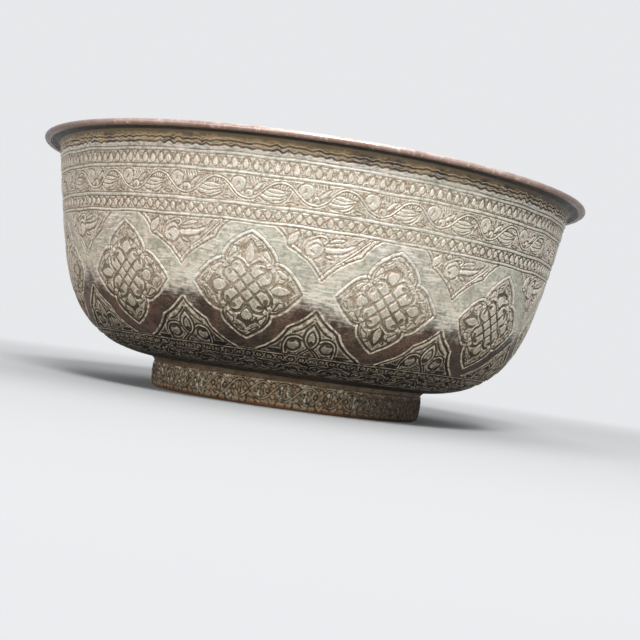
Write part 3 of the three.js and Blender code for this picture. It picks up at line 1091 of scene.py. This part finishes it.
def feed(node, key, value):
    """Links a value to a node's socket, or sets the socket to a number or a colour."""
    socket = node.inputs[key]
    if isinstance(value, Value):
        value.tree.links.new(value.socket, socket)
    else:
        socket.default_value = (*value, 1) if socket.type == "RGBA" else value


def coats(under, *layers):
    """Colours laid over each other, each with its share."""
    for share, *over in layers:
        under = share.blend(under, *over)
    return under


def attribute(tree, name):
    return Value(put(tree, "Attribute", {"attribute_name": name}), "Fac")


def new_material(name):
    made = bpy.data.materials.new(name)
    made.use_nodes = True
    tree = made.node_tree
    return made, tree, tree.nodes["Principled BSDF"], Value(put(tree, "TexCoord"), "Object")


def surface(shader, body, metallic, roughness, bumps):
    feed(shader, "Base Color", body)
    feed(shader, "Metallic", metallic)
    feed(shader, "Roughness", roughness)
    feed(shader, "Normal", Value(put(shader.id_data, "Bump", Strength=0.8, Distance=0.2 * MM, Height=bumps)))


# A near black for dirt in the cuts and specks, also laid on as painted shade on the belly, neck and hem
DIRT_AND_SHADE = (0.014, 0.011, 0.009)
TIN_BRIGHT = (0.77, 0.705, 0.625)
TIN_ROSY = (0.80, 0.72, 0.68)
TIN_PALE = (0.60, 0.555, 0.465)
TIN_GREEN = (0.43, 0.415, 0.345)
TIN_GREY = (0.22, 0.215, 0.175)
TIN_DULL = (0.135, 0.115, 0.085)
COPPER_BROWN = (0.070, 0.044, 0.033)
COPPER_WARM = (0.165, 0.090, 0.062)
COPPER_RED = (0.26, 0.115, 0.06)
COPPER_TAN = (0.33, 0.215, 0.10)
SHADED_OLIVE = (0.150, 0.112, 0.066)
# The hem's brown, its upper half painted lighter as lit, a painted highlight on its top, and painted shade at its
# sides
BEAD_BROWN = (0.27, 0.165, 0.125)
BEAD_LIT_PINK = (0.48, 0.335, 0.285)
BEAD_HIGHLIGHT = (0.74, 0.63, 0.58)
BEAD_SIDE_SHADE = (0.11, 0.072, 0.060)
WARM_TINT = (1.0, 0.90, 0.84)
GREEN_TINT = (0.90, 1.0, 0.93)
MOSTLY = (0.94, 0.94, 0.94)

# The worked tin's colours low on the belly, round the worn edge, and on the wall
# The low ones are darker, partly as painted shade of the belly, which faces down
DULL_COLOURS = (TIN_DULL, TIN_GREY, TIN_GREEN)
LEAF_COLOURS = ((0.055, 0.046, 0.033), (0.45, 0.39, 0.30), (0.65, 0.59, 0.51))
GROUND_COLOURS = ((0.026, 0.021, 0.015), (0.31, 0.25, 0.185), (0.54, 0.475, 0.395))
SPECK_COLOURS = ((0.012, 0.010, 0.008), (0.11, 0.083, 0.056), (0.27, 0.213, 0.138))
RIDGE_COLOURS = ((0.52, 0.43, 0.31), (0.66, 0.585, 0.46), (0.80, 0.74, 0.665))
CUT_COLOURS = (DIRT_AND_SHADE, (0.070, 0.051, 0.036), (0.31, 0.243, 0.168))

# The foot's colours
FOOT_TAN = (0.41, 0.255, 0.135)
FOOT_GREY = (0.36, 0.29, 0.175)
FOOT_SPECK = (0.065, 0.043, 0.028)
FOOT_CUT_AND_SHADE = (0.045, 0.030, 0.020)
FOOT_RIDGE = (0.60, 0.49, 0.33)
FOOT_GLINT = (0.74, 0.68, 0.53)
BRAZE_COLOURS = ((0.42, 0.30, 0.13), (0.30, 0.22, 0.12))
SOLDER_COLOURS = ((0.13, 0.085, 0.05), (0.22, 0.17, 0.12))

# Where the bowl's tones change, in metres, as a raggedly moved height
WORN_THROUGH = (0.0375, 0.0475)
# Painted shade of the belly, which faces down, laid on before the ridges and again after the cuts
BELLY_SHADE_BEFORE_RIDGES = (0.012, 0.036)
BELLY_SHADE_AFTER_CUTS = (0.004, 0.026)
BELLY_TONES = (0.020, 0.038)
WALL_TONES = (0.035, 0.055)
# Cuts lighter higher up, partly cleaner and partly painted light
CUTS_CLEAN_AND_LIT = (0.034, 0.050)

# The same, as a plain height
# Painted shade on the bare copper towards the foot
SHADE_FOOTWARDS = (0.013, 0.026)
# A painted glare band low on the belly, where it curves up towards the light
GLARE_FROM = (0.037, 0.044)
GLARE_TO = (0.047, 0.056)
# A painted rosy sheen on the wall from this height up
ROSY_SHEEN_FROM = (0.058, 0.068)
# Painted shade under the flange, and a painted shadow inside the hem
FLANGE_SHADE_FROM = (0.1009, 0.1017)
HEM_SHADOW = (0.1022, 0.1027)
# The hem's painted lit upper half and the painted highlight along its top
BEAD_LIT_FROM = (0.1026, 0.1040)
BEAD_HIGHLIGHT_FROM = (0.1040, 0.1052)

# The same, as a place to the right of the middle, or to either side of it, or away from the axis
LEFT_WARM = (-0.065, -0.005)
# Painted shade in the cuts to the left and the right of the lit middle
LEFT_SHADED_CUTS = (-0.070, -0.015)
RIGHT_SHADED_CUTS = (0.062, 0.096)
# Painted shade at the right on the copper, the tin and the neck
RIGHT_SHADED_COPPER = (0.070, 0.100)
RIGHT_SHADED_TIN = (0.085, 0.120)
RIGHT_SHADED_NECK = (0.060, 0.110)
# Painted shade on the hem towards its sides
SIDEWAYS_BEAD_SHADE = (0.078, 0.124)
HEM_FROM = (0.1214, 0.1217)

# Where the foot's tones change: its plain top, its bare lower edge, and painted shade at its right-hand end
FOOT_PLAIN_TOP = (0.0118, 0.0132)
FOOT_BARE_EDGE = (0.0022, 0.0034)
FOOT_SHADED_RIGHT = (0.020, 0.062)


def tinned_copper():
    """Old tin over copper: pale above, worn through to brown copper below, with dirt in the cuts."""
    # Painted light in these colours: shade on the belly, to the sides and under the flange, and highlights on the
    # hem and tin
    made, tree, shader, place = new_material("tinned_copper")
    axes = put(tree, "SeparateXYZ", Vector=place)
    across, level = Value(axes, "X"), Value(axes, "Z")
    broad = place.noise(38, 4)
    patchy = place.noise(8, 5, 0.62)
    fine = place.noise(1.8, 4, 0.6)
    grain = place.noise(0.8, 2, 0.7)
    streak = place.scaled(1, 1, 7).noise(5, 4, 0.65)
    hue = place.noise(1.3, 2, 0.6)
    groove, worked, matted, raised, neck = (attribute(tree, name) for name in LAYERS)
    outer = Value(put(tree, "Math", {"operation": "SUBTRACT"}, I0=1.0, I1=attribute(tree, "inside")))

    # The height above the ragged edge where the tin has worn off, and how far to the right
    ragged = broad * 0.020 + patchy * 0.016 + (streak + fine) * 0.007
    above = level + (ragged - 0.025)
    bare = above.fall(*WORN_THROUGH) * outer
    lifted = above.ramp(*BELLY_TONES)
    high = above.ramp(*WALL_TONES)
    right = across + patchy * 0.03
    # Painted light: clean is highest in the middle, where the light falls, and lower to the sides as painted shade
    lit_middle = right.ramp(*RIGHT_SHADED_CUTS, 1.0, 0.05) * right.ramp(*LEFT_SHADED_CUTS, 0.5, 1.0)
    clean = above.ramp(*CUTS_CLEAN_AND_LIT) * lit_middle

    # Low, middle and top copies of a colour by height, the low ones partly painted shade
    def by_height(colours, top_share=high):
        low, middle, top = colours
        return top_share.blend(lifted.blend(low, middle), top)

    # Plain tin, with level streaks and greenish patches, and the brown copper under it
    # Polished streaks, partly real and partly a painted highlight, and a painted glare band low on the belly
    polish_and_glare = streak.ramp(0.50, 0.64) * broad.ramp(0.40, 0.56, 0.1, 0.9)
    glare_low = level.ramp(*GLARE_FROM) * level.fall(*GLARE_TO)
    polish_and_glare = polish_and_glare.maths("MAXIMUM", glare_low * streak.rise(0.42, 0.60, 0.8))
    # A painted rosy sheen in broad smears
    rosy_sheen = broad.ramp(0.46, 0.58) * streak.ramp(0.44, 0.60)
    plain = coats(
        TIN_GREEN,
        (patchy.ramp(0.34, 0.64), TIN_PALE),
        (streak.fall(0.34, 0.50, 0.32), TIN_GREY),
        (fine.fall(0.36, 0.54, 0.6), TIN_GREY),
        (patchy.fall(0.30, 0.42, 0.35), TIN_GREY),
        (polish_and_glare, TIN_BRIGHT),
        (rosy_sheen * level.rise(*ROSY_SHEEN_FROM, 0.7), TIN_ROSY),
        (grain.rise(0.55, 0.75, 0.35), TIN_GREY),
        # Painted shade to the right
        (right.rise(*RIGHT_SHADED_TIN, 0.35), TIN_GREY),
    )
    brown = coats(
        COPPER_BROWN,
        (patchy.ramp(0.42, 0.62), COPPER_WARM),
        (streak.ramp(0.42, 0.64) * fine.ramp(0.38, 0.62, 0.15, 0.9), TIN_DULL),
        (grain.fall(0.35, 0.60, 0.5), DIRT_AND_SHADE),
        # Painted shade towards the foot
        (level.fall(*SHADE_FOOTWARDS, 0.6), DIRT_AND_SHADE),
        # Painted shade to the right
        (right.rise(*RIGHT_SHADED_COPPER, 0.7), DIRT_AND_SHADE),
    )

    # Worked tin: smooth leaves, and punched ground that is speckled with dirt
    speckled = (grain + (fine - 0.5) * 0.6).fall(0.40, 0.56)
    leaf = coats(
        by_height(LEAF_COLOURS),
        (speckled * 0.45, by_height(SPECK_COLOURS)),
        (patchy.rise(0.40, 0.62, 0.4), by_height(DULL_COLOURS)),
    )
    ground = (speckled * 0.85).blend(by_height(GROUND_COLOURS), by_height(SPECK_COLOURS, clean))

    # Tin or copper rubbed bright on the ridges beside the cuts, and dirt in the cuts
    crest = groove.ramp(1.1, 1.5) * groove.fall(2.0, 2.9) * 0.75
    # Raised metal is painted paler, partly as rubbed tin and partly as a painted highlight
    crest = crest.maths("MAXIMUM", raised.ramp(0.35, 0.9) * high.ramp(0.0, 1.0, 1.0, 0.75))
    filled = (groove + (grain * 0.8 + high * 0.3)).fall(0.85, 1.55)
    filled = filled * clean.blend(MOSTLY, (fine * 0.5 + grain * 0.5).ramp(0.42, 0.58, 1.0, 0.2))
    body = coats(
        worked.blend(bare.blend(plain, brown), matted.blend(leaf, ground)),
        (hue.ramp(0.52, 0.62), WARM_TINT, "MULTIPLY"),
        (hue.fall(0.38, 0.48), GREEN_TINT, "MULTIPLY"),
        (right.fall(*LEFT_WARM, 0.7), WARM_TINT, "MULTIPLY"),
        # Painted shade of the belly, which faces down, before the ridges
        (above.fall(*BELLY_SHADE_BEFORE_RIDGES, 0.85) * outer, DIRT_AND_SHADE),
        (crest * fine.ramp(0.32, 0.62, 0.15, 1.0), by_height(RIDGE_COLOURS)),
        (filled, by_height(CUT_COLOURS, clean)),
        # The belly's painted shade again, over the cuts
        (above.fall(*BELLY_SHADE_AFTER_CUTS, 0.85) * outer, DIRT_AND_SHADE),
    )

    # The golden brown neck, painted shade under the flange and inside the hem, and the hem
    tanned = coats(
        COPPER_BROWN,
        (patchy.ramp(0.36, 0.58), COPPER_TAN),
        (fine.rise(0.52, 0.66, 0.5), TIN_GREY),
        # Painted shade under the flange and a painted shadow inside the hem
        ((level + (fine - 0.5) * 0.004).ramp(*FLANGE_SHADE_FROM), SHADED_OLIVE),
        (level.ramp(*HEM_SHADOW), DIRT_AND_SHADE),
        # Painted shade on the neck to the right
        (right.rise(*RIGHT_SHADED_NECK, 0.6), DIRT_AND_SHADE),
        (crest * fine.ramp(0.35, 0.6, 0.4, 1.0), RIDGE_COLOURS[1]),
        (filled * 0.7, CUT_COLOURS[1]),
    )
    bead = place.scaled(1, 1, 0).length().ramp(*HEM_FROM) * outer
    # worn is a ragged height for the hem's painted lit half and painted highlight
    worn = level + (patchy - 0.5) * 0.003
    sideways = across.maths("ABSOLUTE") + patchy * 0.01
    # The hem: brown, its upper half painted lighter as lit, a painted highlight on top and painted shade to the
    # sides
    rolled = coats(
        BEAD_BROWN,
        (worn.ramp(*BEAD_LIT_FROM), BEAD_LIT_PINK),
        (worn.ramp(*BEAD_HIGHLIGHT_FROM), BEAD_HIGHLIGHT),
        (fine.rise(0.56, 0.68, 0.6), TIN_BRIGHT),
        (grain.fall(0.30, 0.50, 0.5), BEAD_BROWN),
        (sideways.rise(*SIDEWAYS_BEAD_SHADE, 0.8), BEAD_SIDE_SHADE),
    )
    body = coats(body, (neck * 0.95, tanned), (bead, rolled))

    shader.inputs["Specular IOR Level"].default_value = 0.15
    roughness = (fine + filled * 0.4).ramp(0.3, 0.9, 0.40, 0.68) - bead * 0.12
    punched = Value(put(tree, "TexVoronoi", Vector=place, Scale=1 / (0.85 * MM)), "Distance")
    bumps = punched * (matted * 0.9) + grain * 0.4 + (fine * 0.5 + streak * 0.4)
    surface(shader, body, bead.ramp(0.0, 1.0, 0.34, 0.8), roughness, bumps)
    return made


def foot_copper():
    """The foot's worn tin over copper, red and bare along its lower edge."""
    # Painted light in these colours: highlights on the ridges and glints, and shade at the right-hand end
    made, tree, shader, place = new_material("foot_copper")
    axes = put(tree, "SeparateXYZ", Vector=place)
    patchy = place.noise(8, 5, 0.62)
    fine = place.noise(1.6, 4, 0.6)
    grain = place.noise(0.75, 2, 0.6)
    groove, matted, raised = (attribute(tree, name) for name in ("groove", "matted", "raised"))

    high = Value(axes, "Z") + patchy * 0.003
    right = Value(axes, "X") + patchy * 0.02
    # Ridges and raised stems painted paler, partly rubbed and partly as a painted highlight
    crest = (groove.ramp(1.1, 1.5) * groove.fall(1.9, 2.8) * 0.7).maths("MAXIMUM", raised.ramp(0.4, 0.9))
    filled = (groove + grain * 0.8).fall(0.95, 1.55, 0.95) * fine.ramp(0.3, 0.6, 1.0, 0.5)
    # glint: painted glints of light on the punched ground
    glint = matted * fine.rise(0.51, 0.55, 0.95) * patchy.ramp(0.42, 0.54, 0.1, 1.0)
    body = patchy.ramp(0.38, 0.62).blend(FOOT_TAN, FOOT_GREY)
    body = coats(
        body,
        (matted * 0.85, grain.ramp(0.42, 0.66).blend(FOOT_SPECK, body)),
        (fine.fall(0.34, 0.47, 0.7), FOOT_SPECK),
        (high.rise(*FOOT_PLAIN_TOP, 0.8), FOOT_TAN),
        (high.fall(*FOOT_BARE_EDGE, 0.85), COPPER_RED),
        (crest * fine.ramp(0.38, 0.60, 0.2, 0.95), FOOT_RIDGE),
        (glint, FOOT_GLINT),
        (filled, FOOT_CUT_AND_SHADE),
        # Painted shade at the right-hand end
        (right.rise(*FOOT_SHADED_RIGHT, 0.75), FOOT_CUT_AND_SHADE),
    )
    roughness = (fine + filled * 0.5).ramp(0.3, 0.9, 0.45, 0.75)
    surface(shader, body, 0.35, roughness, grain * 0.4 + fine * 0.6 + matted * (grain * 0.6))
    return made


def mottled(name, colours, metallic, rough_low, rough_high, size):
    """A plain metal with uneven colour, sheen and skin."""
    first, second = colours
    made, _, shader, place = new_material(name)
    fine = place.noise(size / 6, 4, 0.6)
    body = coats(first, (place.noise(size, 5, 0.6).ramp(0.35, 0.65), second), (fine.rise(0.55, 0.75, 0.6), DIRT_AND_SHADE))
    surface(shader, body, metallic, fine.ramp(0.3, 0.7, rough_low, rough_high), fine)
    return made


# Stage, light and camera

STAGE_RADIUS = 6.0
STAGE_SIDES = 64
STAGE_COLOUR = (0.80, 0.81, 0.83)
FLOOR_COLOUR = (0.58, 0.59, 0.60)
FLOOR_FADE = (0.18, 0.60)
WORLD_LIGHT = 0.38
LAMP_AIM = (0, 0, 0.06)


def looked_at(tree):
    """1 for what the camera sees, also through or in a surface, and 0 for light that falls on the bowl."""
    path = put(tree, "LightPath")
    camera_ray, glossy, through = (Value(path, f"Is {kind} Ray") for kind in ("Camera", "Glossy", "Transmission"))
    return camera_ray.maths("MAXIMUM", glossy).maths("MAXIMUM", through)


def stage():
    """A pale floor that turns into a plain pale ground away from the bowl, for what looks at it."""
    mesh = bpy.data.meshes.new("floor")
    turns = [2 * math.pi * k / STAGE_SIDES for k in range(STAGE_SIDES)]
    corners = [(STAGE_RADIUS * math.cos(turn), STAGE_RADIUS * math.sin(turn), 0) for turn in turns]
    mesh.from_pydata(corners, [], [list(range(STAGE_SIDES))])
    floor = added("floor", mesh)

    made, tree, shader, place = new_material("pale_floor")
    feed(shader, "Base Color", FLOOR_COLOUR)
    feed(shader, "Roughness", 0.9)
    feed(shader, "Specular IOR Level", 0.1)
    share = looked_at(tree) * place.length().ramp(*FLOOR_FADE)
    ground = Value(put(tree, "Emission", Color=STAGE_COLOUR, Strength=1.0))
    mix = put(tree, "MixShader", Fac=share, I1=Value(shader), I2=ground)
    feed(tree.nodes["Material Output"], "Surface", Value(mix))
    mesh.materials.append(made)


def surroundings():
    world = bpy.data.worlds.new("pale_room")
    bpy.context.scene.world = world
    world.use_nodes = True
    back = world.node_tree.nodes["Background"]
    feed(back, "Color", STAGE_COLOUR)
    feed(back, "Strength", looked_at(world.node_tree).ramp(0.0, 1.0, WORLD_LIGHT, 1.0))


def lamp(name, place, width, power, tint=(1, 1, 1)):
    """A soft square lamp that points at the bowl's middle. place and width are in metres, and power in watts."""
    data = bpy.data.lights.new(name, "AREA")
    data.shape = "SQUARE"
    data.size = width
    data.energy = power
    data.color = tint
    made = added(name, data)
    made.location = place
    made.rotation_euler = (Vector(LAMP_AIM) - Vector(place)).to_track_quat("-Z", "Y").to_euler()


def lights():
    lamp("key", (0.1, -1.25, 1.1), 0.45, 24)
    lamp("low_fill", (-0.75, -1.4, 0.22), 0.6, 5)
    lamp("left_fill", (-1.5, -0.6, 0.7), 1.0, 2.8)
    lamp("right_fill", (1.4, -0.8, 0.6), 1.0, 2.2, (0.94, 1.0, 0.96))
    lamp("top", (0.1, 0.3, 1.6), 1.2, 7)


# The photo's camera: where it stands in metres, and how it is turned in degrees
CAMERA_DISTANCE = 0.56726
CAMERA_HEIGHT = 0.02613
CAMERA_TURN = 1.1307
CAMERA_UP = 1.4583
CAMERA_ROLL = 8.0048
CAMERA_LENS = 68.2
CAMERA_SENSOR = 36
CAMERA_NEAR = 0.01


def camera():
    turn, up, roll = (math.radians(a) for a in (CAMERA_TURN, CAMERA_UP, CAMERA_ROLL))
    forward = Vector((math.sin(turn) * math.cos(up), math.cos(turn) * math.cos(up), math.sin(up)))
    right = forward.cross(Vector((0, 0, 1))).normalized()
    above = right.cross(forward)
    rolled_right = right * math.cos(roll) + above * math.sin(roll)
    rolled_above = above * math.cos(roll) - right * math.sin(roll)
    data = bpy.data.cameras.new("photo_camera")
    data.sensor_width = CAMERA_SENSOR
    data.lens = CAMERA_LENS
    data.clip_start = CAMERA_NEAR
    made = added("photo_camera", data)
    axes = Matrix((rolled_right, rolled_above, -forward)).transposed().to_4x4()
    made.matrix_world = Matrix.Translation((0, -CAMERA_DISTANCE, CAMERA_HEIGHT)) @ axes
    bpy.context.scene.camera = made


def dress(piece, node, material):
    """Gives a piece its material and lets it stand for its solid."""
    piece.data.materials.append(material)
    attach(piece, "root")
    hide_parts(node)


dress(bowl_piece(), "bowl_body", tinned_copper())
dress(foot_piece(), "foot_ring", foot_copper())
brass = mottled("braze", BRAZE_COLOURS, 0.6, 0.4, 0.65, 3)
dress(seam_piece(), "foot_seam", brass)
tarnish = mottled("solder", SOLDER_COLOURS, 0.3, 0.5, 0.8, 6)
dress(solder_piece(), "solder_joint", tarnish)

stage()
surroundings()
lights()
camera()
bpy.context.scene.view_settings.view_transform = "Standard"
